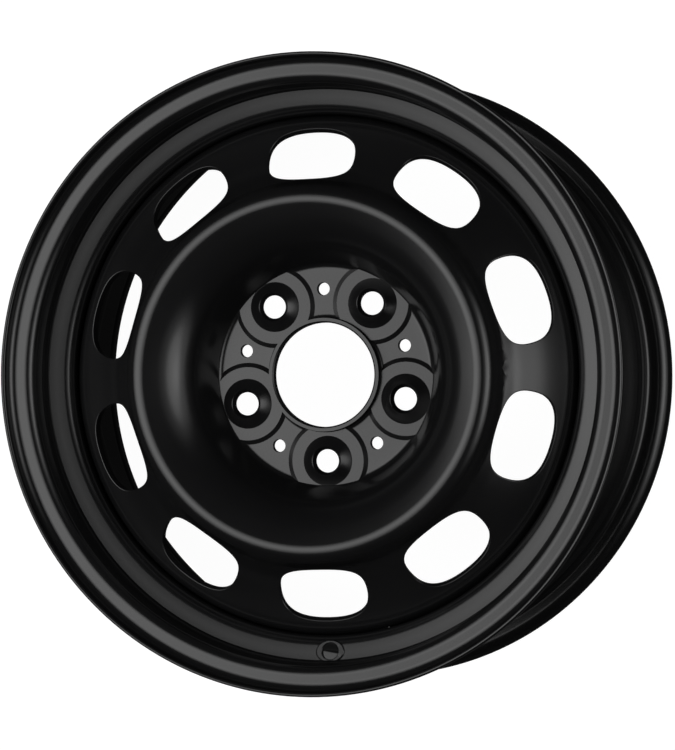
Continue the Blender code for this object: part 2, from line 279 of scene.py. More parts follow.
def line_section(corners):
    """Stations along a line through (radius, height, round) corners, normals on its left."""
    spots = [Vector(corner[:2]) for corner in corners]
    heading = (spots[1] - spots[0]).normalized()
    stations = [(*spots[0], -heading.y, heading.x)]
    for index in range(1, len(spots) - 1):
        here = spots[index]
        back = spots[index - 1] - here
        ahead = spots[index + 1] - here
        turn = math.pi - back.angle(ahead)
        reach = min(corners[index][2] * math.tan(turn / 2), 0.49 * min(back.length, ahead.length))
        radius = reach / math.tan(turn / 2)
        first = here + back.normalized() * reach
        bisector = (back.normalized() + ahead.normalized()).normalized()
        middle = here + bisector * (radius / math.cos(turn / 2))
        left = back.x * ahead.y - back.y * ahead.x < 0
        begin = math.atan2(first.y - middle.y, first.x - middle.x)
        stations += arc_stations(middle, radius, begin, turn if left else -turn,
                                 -1 if left else 1)
    heading = (spots[-1] - spots[-2]).normalized()
    stations.append((*spots[-1], -heading.y, heading.x))
    return refined(stations)


def refined(stations):
    """Split the long straight stretches, so that no chord is much longer than the others."""
    result = [stations[0]]
    for station in stations[1:]:
        last = result[-1]
        gap = math.hypot(station[0] - last[0], station[1] - last[1])
        if gap < TINY:
            continue
        pieces = max(1, math.ceil(gap / (2 * LONGEST_CHORD)))
        for step in range(1, pieces + 1):
            share = step / pieces
            result.append(tuple(a + (b - a) * share for a, b in zip(last, station)))
    return result


def sheet_loop(stations, sheet, size):
    """The closed section of a sheet behind its stations, with ends rounded to a size."""
    front = [(r, z) for r, z, nr, nz in stations]
    back = [(r - sheet * nr, z - sheet * nz) for r, z, nr, nz in stations]

    def end(station, other):
        radius, height, nr, nz = station
        along = Vector((radius - other[0], height - other[1])).normalized()
        normal = Vector((nr, nz))
        spot = Vector((radius, height))
        points = []
        for side in (0, 1):
            for step in range(CORNER_STEPS):
                turn = math.radians(90) * (step + 0.5) / CORNER_STEPS
                if side:
                    turn = math.pi / 2 - turn
                inset = size * (1 - math.cos(turn))
                down = sheet - inset if side else inset
                out = along * (-size * (1 - math.sin(turn)))
                points.append(tuple(spot + out - normal * down))
        return points

    def trimmed(points):
        for _ in range(2):
            first, second = Vector(points[0]), Vector(points[1])
            points = [tuple(first + (second - first).normalized() * size)] + points[1:]
            points = points[::-1]
        return points

    start = end(stations[0], stations[1])
    finish = end(stations[-1], stations[-2])
    return trimmed(front) + finish + trimmed(back)[::-1] + start[::-1]


def rim_stations(sizes):
    """The rim's tyre side from the outboard lip down to the inboard lip."""
    half = sizes.width / 2
    flange = sizes.seat_radius + sizes.flange_height
    ledge = sizes.seat_radius - sizes.ledge_drop
    lip_angle = math.asin((sizes.lip_reach - sizes.flange_round) / sizes.flange_round)
    lip = arc_stations((flange - sizes.flange_round, half + sizes.flange_round),
                       sizes.flange_round, lip_angle, -lip_angle - math.pi / 2, 1)
    seat_end = sizes.seat_radius - sizes.seat_width * math.tan(sizes.seat_slope)
    hump_top = half - sizes.seat_width
    side = [
        (lip[-1][0], half, 0),
        (sizes.seat_radius, half, sizes.bead_fillet),
        (seat_end, hump_top, SEAT_ROUND),
        (seat_end + sizes.hump_rise, hump_top - sizes.hump_width / 2, HUMP_ROUND),
        (ledge, hump_top - sizes.hump_width, SEAT_ROUND),
    ]
    foot = sizes.wall_height - (ledge - sizes.well_radius) * math.tan(sizes.wall_tilt)
    middle = [
        (ledge, sizes.wall_height, LEDGE_ROUND),
        (sizes.well_radius, foot, WELL_ROUND),
        (sizes.well_radius, WELL_INNER_END, RAMP_ROUND),
        RAMP_TOP,
    ]
    lower = [(radius, -height, size) for radius, height, size in side[::-1]]
    body = line_section(side + middle + lower)
    mirrored = [(r, -z, nr, -nz) for r, z, nr, nz in lip[::-1]]
    return refined(lip + body[1:-1] + mirrored)


def disc_stations(sizes, flange_radius):
    """The disc's outboard face from the bore collar to the end of its flange."""
    base = sizes.offset
    front = base + sizes.sheet
    collar = sizes.bore / 2 + COLLAR_WALL
    pressed = [(radius, base + height, size) for radius, height, size in (
        BOWL_WALL, CROWN, SHOULDER_FOOT, UPPER_SHOULDER, LOWER_SHOULDER)]
    return line_section([
        (collar, front + COLLAR_RISE, 0),
        (collar, front, COLLAR_FILLET),
        (HUB_EDGE, front, HUB_FILLET),
        *pressed,
        (flange_radius, base + FLANGE_TOP, FLANGE_BEND),
        (flange_radius, base + FLANGE_END, 0),
    ])


# Geometry node trees

def maths(nodes, operation, factor=None):
    """A Math node, with a fixed second value where one is given."""
    node = nodes.new("ShaderNodeMath")
    node.operation = operation
    if factor is not None:
        node.inputs[1].default_value = factor
    return node


def tree_with(name, inputs):
    """A geometry node tree with the given inputs, one geometry output and its two ends."""
    tree = bpy.data.node_groups.new(name, "GeometryNodeTree")
    for label, kind, value in inputs:
        socket = tree.interface.new_socket(label, in_out="INPUT", socket_type=kind)
        if value is not None:
            socket.default_value = value
    tree.interface.new_socket("Geometry", in_out="OUTPUT", socket_type="NodeSocketGeometry")
    return tree, tree.nodes.new("NodeGroupInput"), tree.nodes.new("NodeGroupOutput")


def turned_tree():
    """Turns a section, drawn in the half plane through +X, into a solid about Z."""
    tree, given, result = tree_with("Turned Section", [
        ("Section", "NodeSocketGeometry", None),
        ("Steps", "NodeSocketInt", TURN_STEPS),
        ("Path Radius", "NodeSocketFloat", 0.1),
        ("Material", "NodeSocketMaterial", None),
    ])
    nodes, links = tree.nodes, tree.links
    flat = nodes.new("GeometryNodeTransform")
    flat.inputs["Rotation"].default_value = (math.pi / 2, 0, 0)
    shift = nodes.new("ShaderNodeCombineXYZ")
    negative = maths(nodes, "MULTIPLY", -1)
    line = nodes.new("GeometryNodeMeshToCurve")
    path = nodes.new("GeometryNodeCurvePrimitiveCircle")
    sweep = nodes.new("GeometryNodeCurveToMesh")
    weld = nodes.new("GeometryNodeMergeByDistance")
    weld.inputs["Distance"].default_value = TINY
    smooth = nodes.new("GeometryNodeSetShadeSmooth")
    real = nodes.new("GeometryNodeRealizeInstances")
    paint = nodes.new("GeometryNodeSetMaterial")
    links.new(given.outputs["Path Radius"], negative.inputs[0])
    links.new(negative.outputs[0], shift.inputs["X"])
    links.new(shift.outputs[0], flat.inputs["Translation"])
    links.new(given.outputs["Section"], flat.inputs["Geometry"])
    links.new(flat.outputs[0], line.inputs["Mesh"])
    links.new(given.outputs["Steps"], path.inputs["Resolution"])
    links.new(given.outputs["Path Radius"], path.inputs["Radius"])
    links.new(path.outputs["Curve"], sweep.inputs["Curve"])
    links.new(line.outputs["Curve"], sweep.inputs["Profile Curve"])
    links.new(sweep.outputs["Mesh"], weld.inputs["Geometry"])
    links.new(weld.outputs[0], smooth.inputs["Geometry"])
    links.new(smooth.outputs[0], real.inputs["Geometry"])
    links.new(real.outputs[0], paint.inputs["Geometry"])
    links.new(given.outputs["Material"], paint.inputs["Material"])
    links.new(paint.outputs[0], result.inputs[0])
    return tree


def ring_tree():
    """Copies one form round a circle about Z, each copy turned with its place."""
    tree, given, result = tree_with("Ring of Copies", [
        ("Form", "NodeSocketGeometry", None),
        ("Count", "NodeSocketInt", 5),
        ("Radius", "NodeSocketFloat", 0.06),
        ("First Angle", "NodeSocketFloat", 0.0),
        ("Material", "NodeSocketMaterial", None),
    ])
    nodes, links = tree.nodes, tree.links
    points = nodes.new("GeometryNodePoints")
    index = nodes.new("GeometryNodeInputIndex")
    share = maths(nodes, "DIVIDE")
    angle = maths(nodes, "MULTIPLY_ADD", math.tau)
    cosine, sine = maths(nodes, "COSINE"), maths(nodes, "SINE")
    direction = nodes.new("ShaderNodeCombineXYZ")
    place = nodes.new("ShaderNodeVectorMath")
    place.operation = "SCALE"
    turn = nodes.new("ShaderNodeCombineXYZ")
    copies = nodes.new("GeometryNodeInstanceOnPoints")
    real = nodes.new("GeometryNodeRealizeInstances")
    paint = nodes.new("GeometryNodeSetMaterial")
    links.new(given.outputs["Count"], points.inputs["Count"])
    links.new(index.outputs[0], share.inputs[0])
    links.new(given.outputs["Count"], share.inputs[1])
    links.new(share.outputs[0], angle.inputs[0])
    links.new(given.outputs["First Angle"], angle.inputs[2])
    links.new(angle.outputs[0], cosine.inputs[0])
    links.new(angle.outputs[0], sine.inputs[0])
    links.new(cosine.outputs[0], direction.inputs["X"])
    links.new(sine.outputs[0], direction.inputs["Y"])
    links.new(direction.outputs[0], place.inputs[0])
    links.new(given.outputs["Radius"], place.inputs["Scale"])
    links.new(place.outputs[0], points.inputs["Position"])
    links.new(angle.outputs[0], turn.inputs["Z"])
    links.new(points.outputs[0], copies.inputs["Points"])
    links.new(given.outputs["Form"], copies.inputs["Instance"])
    links.new(turn.outputs[0], copies.inputs["Rotation"])
    links.new(copies.outputs[0], real.inputs["Geometry"])
    links.new(real.outputs[0], paint.inputs["Geometry"])
    links.new(given.outputs["Material"], paint.inputs["Material"])
    links.new(paint.outputs[0], result.inputs[0])
    return tree


def run_tree(mesh, tree, name, **values):
    """A plain mesh from a mesh put through a node tree with the given inputs."""
    thing = bpy.data.objects.new(name + "_source", mesh)
    bpy.context.scene.collection.objects.link(thing)
    modifier = thing.modifiers.new(tree.name, "NODES")
    modifier.node_group = tree
    for socket in tree.interface.items_tree:
        key = socket.name.lower().replace(" ", "_")
        if socket.item_type == "SOCKET" and socket.in_out == "INPUT" and key in values:
            modifier[socket.identifier] = values[key]
    bpy.context.view_layer.update()
    graph = bpy.context.evaluated_depsgraph_get()
    result = bpy.data.meshes.new_from_object(thing.evaluated_get(graph))
    result.name = name
    bpy.data.objects.remove(thing, do_unlink=True)
    return result


def section_mesh(name, points):
    """A closed line of edges through (radius, height) points, in the half plane through +X."""
    mesh = bpy.data.meshes.new(name)
    edges = [(index, (index + 1) % len(points)) for index in range(len(points))]
    mesh.from_pydata([(radius, 0, height) for radius, height in points], edges, [])
    return mesh


def turned_mesh(name, points, steps, material=None):
    """A turned solid from a closed section, its faces pointing out."""
    mesh = run_tree(section_mesh(name, points), bpy.data.node_groups["Turned Section"], name,
                    steps=steps, material=material)
    return outward(mesh)


def outward(mesh):
    """The mesh with its doubles merged and its faces pointing out."""
    shape = bmesh.new()
    shape.from_mesh(mesh)
    bmesh.ops.remove_doubles(shape, verts=shape.verts, dist=TINY / 2)
    bmesh.ops.recalc_face_normals(shape, faces=shape.faces)
    shape.to_mesh(mesh)
    shape.free()
    return mesh


def piece(name, mesh, *nodes):
    """Link a finished mesh, ride it on the wheel and let it stand for its nodes."""
    thing = bpy.data.objects.new(name, mesh)
    wheel_collection().objects.link(thing)
    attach(thing, "root")
    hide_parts(*nodes)
    return thing


def combine(mesh, other, operation):
    """A Boolean of two closed meshes, as a new mesh."""
    target = bpy.data.objects.new("combine_target", mesh)
    tool = bpy.data.objects.new("combine_tool", other)
    for thing in (target, tool):
        bpy.context.scene.collection.objects.link(thing)
    boolean = target.modifiers.new("Combine", "BOOLEAN")
    boolean.operation = operation
    boolean.object = tool
    boolean.solver = "EXACT"
    bpy.context.view_layer.update()
    graph = bpy.context.evaluated_depsgraph_get()
    result = bpy.data.meshes.new_from_object(target.evaluated_get(graph))
    for thing in (target, tool):
        bpy.data.objects.remove(thing, do_unlink=True)
    return result


def shade(mesh, degrees):
    """Smooth shading, but for edges sharper than the given angle."""
    mesh.shade_smooth()
    mesh.set_sharp_from_angle(angle=math.radians(degrees))


# Materials

def grain_group():
    """Orange peel and faint cloudiness, shared by every enamelled surface."""
    name = "Enamel Surface"
    group = bpy.data.node_groups.get(name)
    if group:
        return group
    group = bpy.data.node_groups.new(name, "ShaderNodeTree")
    for label, kind, value in (
            ("Colour", "NodeSocketColor", (0.005, 0.005, 0.005, 1)),
            ("Cloud Colour", "NodeSocketColor", (0.008, 0.008, 0.008, 1)),
            ("Peel Scale", "NodeSocketFloat", 420.0),
            ("Cloud Scale", "NodeSocketFloat", 14.0),
            ("Roughness Low", "NodeSocketFloat", 0.2),
            ("Roughness High", "NodeSocketFloat", 0.26),
            ("Vector", "NodeSocketVector", None)):
        socket = group.interface.new_socket(label, in_out="INPUT", socket_type=kind)
        if value is not None:
            socket.default_value = value
    for label, kind in (("Colour", "NodeSocketColor"), ("Roughness", "NodeSocketFloat"),
                        ("Height", "NodeSocketFloat")):
        group.interface.new_socket(label, in_out="OUTPUT", socket_type=kind)
    nodes, links = group.nodes, group.links
    given, result = nodes.new("NodeGroupInput"), nodes.new("NodeGroupOutput")
    peel = nodes.new("ShaderNodeTexNoise")
    peel.inputs["Detail"].default_value = 2
    cloud = nodes.new("ShaderNodeTexNoise")
    cloud.inputs["Detail"].default_value = 4
    rough = nodes.new("ShaderNodeMapRange")
    tint = nodes.new("ShaderNodeMix")
    tint.data_type = "RGBA"
    links.new(given.outputs["Vector"], peel.inputs["Vector"])
    links.new(given.outputs["Vector"], cloud.inputs["Vector"])
    links.new(given.outputs["Peel Scale"], peel.inputs["Scale"])
    links.new(given.outputs["Cloud Scale"], cloud.inputs["Scale"])
    links.new(cloud.outputs["Fac"], rough.inputs["Value"])
    links.new(given.outputs["Roughness Low"], rough.inputs["To Min"])
    links.new(given.outputs["Roughness High"], rough.inputs["To Max"])
    links.new(cloud.outputs["Fac"], tint.inputs["Factor"])
    links.new(given.outputs["Colour"], tint.inputs[6])
    links.new(given.outputs["Cloud Colour"], tint.inputs[7])
    links.new(tint.outputs[2], result.inputs["Colour"])
    links.new(rough.outputs["Result"], result.inputs["Roughness"])
    links.new(peel.outputs["Fac"], result.inputs["Height"])
    return group


def enamel(name, finish, peel_depth=0.00002, rougher=0.0):
    """Black enamel over steel, with its orange peel and slight changes of gloss."""
    material = bpy.data.materials.new(name)
    material.use_nodes = True
    nodes, links = material.node_tree.nodes, material.node_tree.links
    shader = nodes["Principled BSDF"]
    coordinates = nodes.new("ShaderNodeTexCoord")
    surface = nodes.new("ShaderNodeGroup")
    surface.node_tree = grain_group()
    colour = tuple(finish.enamel)
    surface.inputs["Colour"].default_value = (*colour, 1)
    surface.inputs["Cloud Colour"].default_value = (*[part * 1.5 for part in colour], 1)
    surface.inputs["Roughness Low"].default_value = finish.gloss_low + rougher
    surface.inputs["Roughness High"].default_value = finish.gloss_high + rougher
    bump = nodes.new("ShaderNodeBump")
    bump.inputs["Strength"].default_value = 0.35
    bump.inputs["Distance"].default_value = peel_depth
    links.new(coordinates.outputs["Object"], surface.inputs["Vector"])
    links.new(surface.outputs["Colour"], shader.inputs["Base Color"])
    links.new(surface.outputs["Roughness"], shader.inputs["Roughness"])
    links.new(surface.outputs["Height"], bump.inputs["Height"])
    links.new(bump.outputs["Normal"], shader.inputs["Normal"])
    return material


# The rim

class WHEEL_OT_rim(bpy.types.Operator):
    """Make the rolled rim with its valve hole"""
    bl_idname = "steel_wheel.rim"
    bl_label = "Rim"

    def execute(self, context):
        sizes = context.scene.wheel_rim
        stations = rim_stations(sizes)
        loop = sheet_loop(stations, sizes.sheet, LIP_EDGE_ROUND)
        paint = enamel("rim_enamel", context.scene.wheel_finish)
        mesh = turned_mesh("rim_surface", loop, RIM_TURN_STEPS, paint)

        ledge = sizes.seat_radius - sizes.ledge_drop
        height = sizes.wall_height - (ledge - sizes.valve_circle) * math.tan(sizes.wall_tilt)
        turn = Matrix.Rotation(sizes.valve_angle, 4, "Z")
        place = turn @ Matrix.Translation((sizes.valve_circle, 0, height))
        place = place @ Matrix.Rotation(-sizes.wall_tilt, 4, "Y")
        top = sizes.sheet + VALVE_PAD_RISE
        pad = turned_mesh("valve_pad", [
            (0, sizes.sheet / 2), (0.0080, sizes.sheet / 2), (0.0080, sizes.sheet),
            (0.0077, top - 0.0004), (0.0072, top), (0, top)], 64, paint)
        pad.transform(place @ Matrix.Diagonal((1, VALVE_PAD_STRETCH, 1, 1)))
        mesh = combine(mesh, pad, "UNION")
        hole = sizes.valve_hole / 2
        cut = turned_mesh("valve_cut", [
            (0, -CUT_MARGIN), (hole, -CUT_MARGIN), (hole, top - 0.0006),
            (hole + 0.0006, top), (hole + 0.0040, top + 0.0034), (0, top + 0.0034)],
            48, paint)
        cut.transform(place)
        mesh = combine(mesh, cut, "DIFFERENCE")
        shade(mesh, RIM_SHARP)
        piece("rim_surface", mesh, "rim")
        return {"FINISHED"}


# The disc

def station_at(stations, radius):
    """The station of a stretch, whose radius only grows, at the given radius."""
    for low, high in zip(stations, stations[1:]):
        if low[0] <= radius <= high[0]:
            share = (radius - low[0]) / max(high[0] - low[0], TINY / 100)
            return tuple(a + (b - a) * share for a, b in zip(low, high))
    raise RuntimeError("no station at this radius")


def on_circle(radius, height, angle):
    """The point at a radius, a height and an angle about Z."""
    return Vector((radius * math.cos(angle), radius * math.sin(angle), height))


def window_outline(sizes, turn):
    """A point (outwards, along) on the rounded slot, at a turn from the outward direction."""
    half_length, half_width = sizes.window_length / 2, sizes.window_width / 2
    turn %= math.tau
    side = 1 if turn <= math.pi else -1
    if side < 0:
        turn = math.tau - turn
    if turn <= math.pi / 2:
        along, across = FULLNESS_OUT
        share = turn / (math.pi / 2)
        knots = ((half_width, 0), (half_width, along * half_length),
                 (across * half_width, half_length), (0, half_length))
    else:
        along, across = FULLNESS_IN
        share = (turn - math.pi / 2) / (math.pi / 2)
        knots = ((0, half_length), (-across * half_width, half_length),
                 (-half_width, along * half_length), (-half_width, 0))
    rest = 1 - share
    weights = (rest ** 3, 3 * rest * rest * share, 3 * rest * share * share, share ** 3)
    out = sum(weight * knot[0] for weight, knot in zip(weights, knots))
    aside = sum(weight * knot[1] for weight, knot in zip(weights, knots))
    return out, side * aside


class ShoulderPatch:
    """One sector of the sloping shoulder, meshed round its window."""

    def __init__(self, sizes, stations, inner, outer, flange_radius):
        self.sizes = sizes
        self.stations = stations
        self.inner = inner
        self.outer = outer
        self.radius = flange_radius - sizes.window_inset
        self.half_turn = math.pi / sizes.windows
        self.turn_cells = TURN_STEPS // sizes.windows
        centre = station_at(stations, self.radius)
        self.height = centre[1]
        self.slope = math.atan2(centre[2], centre[3])
        self.punch = Vector((centre[2], 0, centre[3]))

    def border(self):
        """Points (angle, radius) anticlockwise round the sector, from its inner corner."""
        low, high = -self.half_turn, self.half_turn
        points = []
        for step in range(SLOPE_CELLS):
            share = step / SLOPE_CELLS
            points.append((low, self.inner + (self.outer - self.inner) * share))
        for step in range(self.turn_cells):
            points.append((low + (high - low) * step / self.turn_cells, self.outer))
        for step in range(SLOPE_CELLS):
            share = step / SLOPE_CELLS
            points.append((high, self.outer + (self.inner - self.outer) * share))
        for step in range(self.turn_cells):
            points.append((high + (low - high) * step / self.turn_cells, self.inner))
        return points

    def surface(self, angle, radius):
        """The point and normal of the outboard face at an angle and radius."""
        r, z, nr, nz = station_at(self.stations, radius)
        normal = Vector((nr * math.cos(angle), nr * math.sin(angle), nz)).normalized()
        return on_circle(r, z, angle), normal

    def punched(self, out, along):
        """Where the surface meets the punch at a point of the slot's outline."""
        reach = self.radius + out * math.cos(self.slope)
        height = self.height - out * math.sin(self.slope)
        depth = 0.0
        for _ in range(PUNCH_TRIES):
            place = reach + depth * self.punch.x
            station = station_at(self.stations, math.hypot(place, along))
            depth -= (height + depth * self.punch.z - station[1]) * self.punch.z
        return self.surface(math.atan2(along, place), math.hypot(place, along))

    def slot_edge(self):
        """The slot's edge on the outboard face: spot, surface normal and way out of the hole."""
        spots = []
        middle = (self.inner + self.outer) / 2
        for angle, radius in self.border():
            up = (radius - middle) / ((self.outer - self.inner) / 2)
            turn = math.atan2(angle / self.half_turn, up)
            spots.append(self.punched(*window_outline(self.sizes, turn)))
        edge = []
        for index, (spot, normal) in enumerate(spots):
            ahead = spots[(index + 1) % len(spots)][0] - spots[index - 1][0]
            away = ahead.normalized().cross(normal).normalized()
            edge.append((spot, normal, away))
        centre = sum((item[0] for item in edge), Vector()) / len(edge)
        if (edge[0][0] - centre).dot(edge[0][2]) < 0:
            edge = [(spot, normal, -away) for spot, normal, away in edge]
        return edge

    def rows(self):
        """Rows of points from the sector's border over the slot's edge to the inboard border."""
        sheet, ease = self.sizes.sheet, PUNCH_ROUND
        border, edge = self.border(), self.slot_edge()
        front_rows, back_rows = [], []
        for ring in range(SECTOR_RINGS):
            share = ring / SECTOR_RINGS
            front, back = [], []
            for (angle, radius), (spot, normal, away) in zip(border, edge):
                near = spot + away * ease
                near_angle = math.atan2(near.y, near.x)
                near_radius = math.hypot(near.x, near.y)
                mixed = (angle + (near_angle - angle) * share,
                         radius + (near_radius - radius) * share)
                point, direction = self.surface(*mixed)
                front.append(point)
                back.append(point - direction * sheet)
            front_rows.append(front)
            back_rows.append(back)
        wall = []
        for step in range(CORNER_STEPS):
            turn = math.radians(90) * step / (CORNER_STEPS - 1)
            wall.append([spot + away * ease * (1 - math.sin(turn))
                         - normal * ease * (1 - math.cos(turn)) for spot, normal, away in edge])
        for step in range(CORNER_STEPS):
            turn = math.radians(90) * (1 - step / (CORNER_STEPS - 1))
            ring = []
            for spot, normal, away in edge:
                depth = sheet / max(0.5, normal.dot(self.punch))
                foot = spot - self.punch * depth
                ring.append(foot + away * ease * (1 - math.sin(turn))
                            + normal * ease * (1 - math.cos(turn)))
            wall.append(ring)
        return front_rows + wall + back_rows[::-1]

    def add_to(self, shape, angle):
        """Add the sector, turned to its place, to a mesh in the making."""
        turn = Matrix.Rotation(angle, 3, "Z")
        rings = [[shape.verts.new(turn @ point) for point in row] for row in self.rows()]
        for low, high in zip(rings, rings[1:]):
            count = len(low)
            for index in range(count):
                after = (index + 1) % count
                shape.faces.new((low[index], low[after], high[after], high[index]))


def add_band(shape, points):
    """A turned band of faces through (radius, height) points."""
    rings = []
    for radius, height in points:
        rings.append([shape.verts.new(on_circle(radius, height, math.tau * step / TURN_STEPS))
                      for step in range(TURN_STEPS)])
    for low, high in zip(rings, rings[1:]):
        for index in range(TURN_STEPS):
            after = (index + 1) % TURN_STEPS
            shape.faces.new((low[index], low[after], high[after], high[index]))


def disc_sheet(sizes, flange_radius):
    """The plain pressed sheet with its windows, closed and without its hub details."""
    stations = disc_stations(sizes, flange_radius)
    inner, outer = SECTOR_INNER, SECTOR_OUTER
    rising = [station for station in stations if station[0] >= RISING_FROM]
    rising = [station for index, station in enumerate(rising)
              if index == 0 or station[0] > rising[index - 1][0]]
    inner_station, outer_station = station_at(rising, inner), station_at(rising, outer)
    split = next(index for index, station in enumerate(stations) if station[0] > inner)
    before = stations[:split] + [inner_station]
    after = [outer_station] + [station for station in stations[split:] if station[0] > outer]

    def behind(station):
        return station[0] - sizes.sheet * station[2], station[1] - sizes.sheet * station[3]

    shape = bmesh.new()
    front_in = [station[:2] for station in before]
    back_in = [behind(station) for station in before]
    add_band(shape, back_in[::-1] + front_in)
    front_out = [station[:2] for station in after]
    back_out = [behind(station) for station in after]
    add_band(shape, front_out + back_out[::-1])
    patch = ShoulderPatch(sizes, rising, inner, outer, flange_radius)
    for index in range(sizes.windows):
        patch.add_to(shape, FIRST_LUG + index * math.tau / sizes.windows)
    bmesh.ops.remove_doubles(shape, verts=shape.verts, dist=TINY)
    bmesh.ops.recalc_face_normals(shape, faces=shape.faces)
    mesh = bpy.data.meshes.new("disc_surface")
    shape.to_mesh(mesh)
    shape.free()
    return mesh


def lug_form(front):
    """The section of a bolt seat's coned crest on its low round pad."""
    crest, pad, root = front + CREST_RISE, front + PAD_RISE, front - 0.0012
    return [
        (0, crest), (0.0100, crest), (0.0104, crest), (0.0109, crest - 0.0003),
        (0.0115, crest - 0.0008), (0.0166, pad + 0.0004), (0.0175, pad),
        (PAD_TOP_RADIUS, pad), (PAD_FOOT_RADIUS, front - 0.0001), (PAD_FOOT_RADIUS, root),
        (0, root)]


def lug_cut(hole, base, crest):
    """The section of a bolt hole, its coned seat and the hollow behind its crest."""
    below = base - CUT_MARGIN
    return [
        (0, crest + CUT_MARGIN), (0.0106, crest + CUT_MARGIN), (0.0106, crest + 0.0001),
        (0.0100, crest - 0.0003), (hole, crest - 0.0037), (hole, base + 0.0057),
        (0.0092, base + 0.0051), (0.0146, base + 0.0014), (0.0152, base + PAD_RISE),
        (0.0238, base + PAD_RISE), (0.0260, base), (0.0260, below), (0, below)]


def plain_cut(hole, base, front):
    """The section of a plain hole with a broken edge on both faces."""
    top, below = front + CUT_MARGIN, base - CUT_MARGIN
    return [
        (0, top), (hole + 0.0043, top), (hole + 0.0003, front), (hole, front - 0.0003),
        (hole, base + 0.0002), (hole + 0.0002, base), (hole + 0.0042, below), (0, below)]


def bore_cut(bore, base, collar_top):
    """The section of the bore, wider at the collar's rim."""
    top, below = collar_top + 0.0030, base - CUT_MARGIN
    return [
        (0, top), (bore + 0.0040, top), (bore + 0.0009, collar_top - 0.0001),
        (bore, collar_top - 0.0010), (bore, below), (0, below)]


class WHEEL_OT_disc(bpy.types.Operator):
    """Make the pressed disc with its windows, bolt seats and bore"""
    bl_idname = "steel_wheel.disc"
    bl_label = "Disc"

    def execute(self, context):
        scene = context.scene
        sizes = scene.wheel_disc
        flange_radius = scene.wheel_rim.well_radius - scene.wheel_rim.sheet - WELD_GAP
        paint = enamel("disc_enamel", scene.wheel_finish)
        mesh = disc_sheet(sizes, flange_radius)
        base, front = sizes.offset, sizes.offset + sizes.sheet
        crest = front + CREST_RISE
        ring = bpy.data.node_groups["Ring of Copies"]

        def copies(name, points, first):
            form = turned_mesh(name, points, LUG_TURN_STEPS, paint)
            return outward(run_tree(form, ring, name, count=sizes.lugs,
                                    radius=sizes.bolt_circle / 2, first_angle=first,
                                    material=paint))

        pads = copies("lug_forms", lug_form(front), FIRST_LUG)
        limit = turned_mesh("hub_limit", [
            (0, crest + 0.01), (HUB_LIMIT, crest + 0.01), (HUB_LIMIT, base), (0, base)],
            TURN_STEPS, paint)
        pads = combine(pads, limit, "INTERSECT")
        mesh = combine(mesh, pads, "UNION")
        bolts = copies("lug_cuts", lug_cut(sizes.bolt_hole / 2, base, crest), FIRST_LUG)
        mesh = combine(mesh, bolts, "DIFFERENCE")
        plain = copies("plain_cuts", plain_cut(sizes.plain_hole / 2, base, front),
                       FIRST_LUG + math.pi / sizes.lugs)
        mesh = combine(mesh, plain, "DIFFERENCE")
        drill = turned_mesh("bore_cut", bore_cut(sizes.bore / 2, base, front + COLLAR_RISE),
                            TURN_STEPS, paint)
        mesh = combine(mesh, drill, "DIFFERENCE")
        mesh.materials.clear()
        mesh.materials.append(paint)
        for face in mesh.polygons:
            face.material_index = 0
        shade(mesh, DISC_SHARP)
        piece("disc_surface", mesh, "disc")
        return {"FINISHED"}


# The weld beads

def bead_mesh(radius, height):
    """One rippled bead, bent round the wheel's axis, its ends drawn in."""
    shape = bmesh.new()
    rings = []
    for step in range(BEAD_SLICES + 1):
        along = (step / BEAD_SLICES - 0.5) * BEAD_LENGTH
        ripple = abs(math.sin(math.pi * along / RIPPLE_PITCH)) - 0.5
        edge = 1 - abs(along) / (BEAD_LENGTH / 2)
        drawn_in = math.sqrt(max(0.02, 1 - (1 - min(1, edge * 9)) ** 2))
        girth = BEAD_GIRTH * (1 + RIPPLE_DEPTH * ripple) * drawn_in
        ring = []
        for side in range(BEAD_SIDES):
            turn = math.tau * side / BEAD_SIDES
            ring.append(shape.verts.new(on_circle(
                radius + girth * math.cos(turn), height + girth * math.sin(turn),
                along / radius)))
        rings.append(ring)
    for first, second in zip(rings, rings[1:]):
        for side in range(BEAD_SIDES):
            after = (side + 1) % BEAD_SIDES
            shape.faces.new((first[side], first[after], second[after], second[side]))
    shape.faces.new(rings[0][::-1])
    shape.faces.new(rings[-1])
    bmesh.ops.recalc_face_normals(shape, faces=shape.faces)
    mesh = bpy.data.meshes.new("weld_bead")
    shape.to_mesh(mesh)
    shape.free()
    return mesh


class WHEEL_OT_beads(bpy.types.Operator):
    """Make the weld beads between the disc's flange and the well"""
    bl_idname = "steel_wheel.beads"
    bl_label = "Weld beads"

    def execute(self, context):
        low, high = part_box(BEAD_NODES[0])
        rim = context.scene.wheel_rim
        bead = bead_mesh(rim.well_radius - rim.sheet - BEAD_SINK,
                         (low[2] + high[2]) / 2 + BEAD_LIFT)
        paint = enamel("weld_enamel", context.scene.wheel_finish, peel_depth=0.00006,
                       rougher=0.12)
        count = len(BEAD_NODES)
        mesh = run_tree(bead, bpy.data.node_groups["Ring of Copies"], "weld_beads", count=count,
                        radius=0.0, first_angle=FIRST_LUG + math.pi / count, material=paint)
        shade(mesh, BEAD_SHARP)
        piece("weld_beads", mesh, *BEAD_NODES)
        return {"FINISHED"}


# The stage

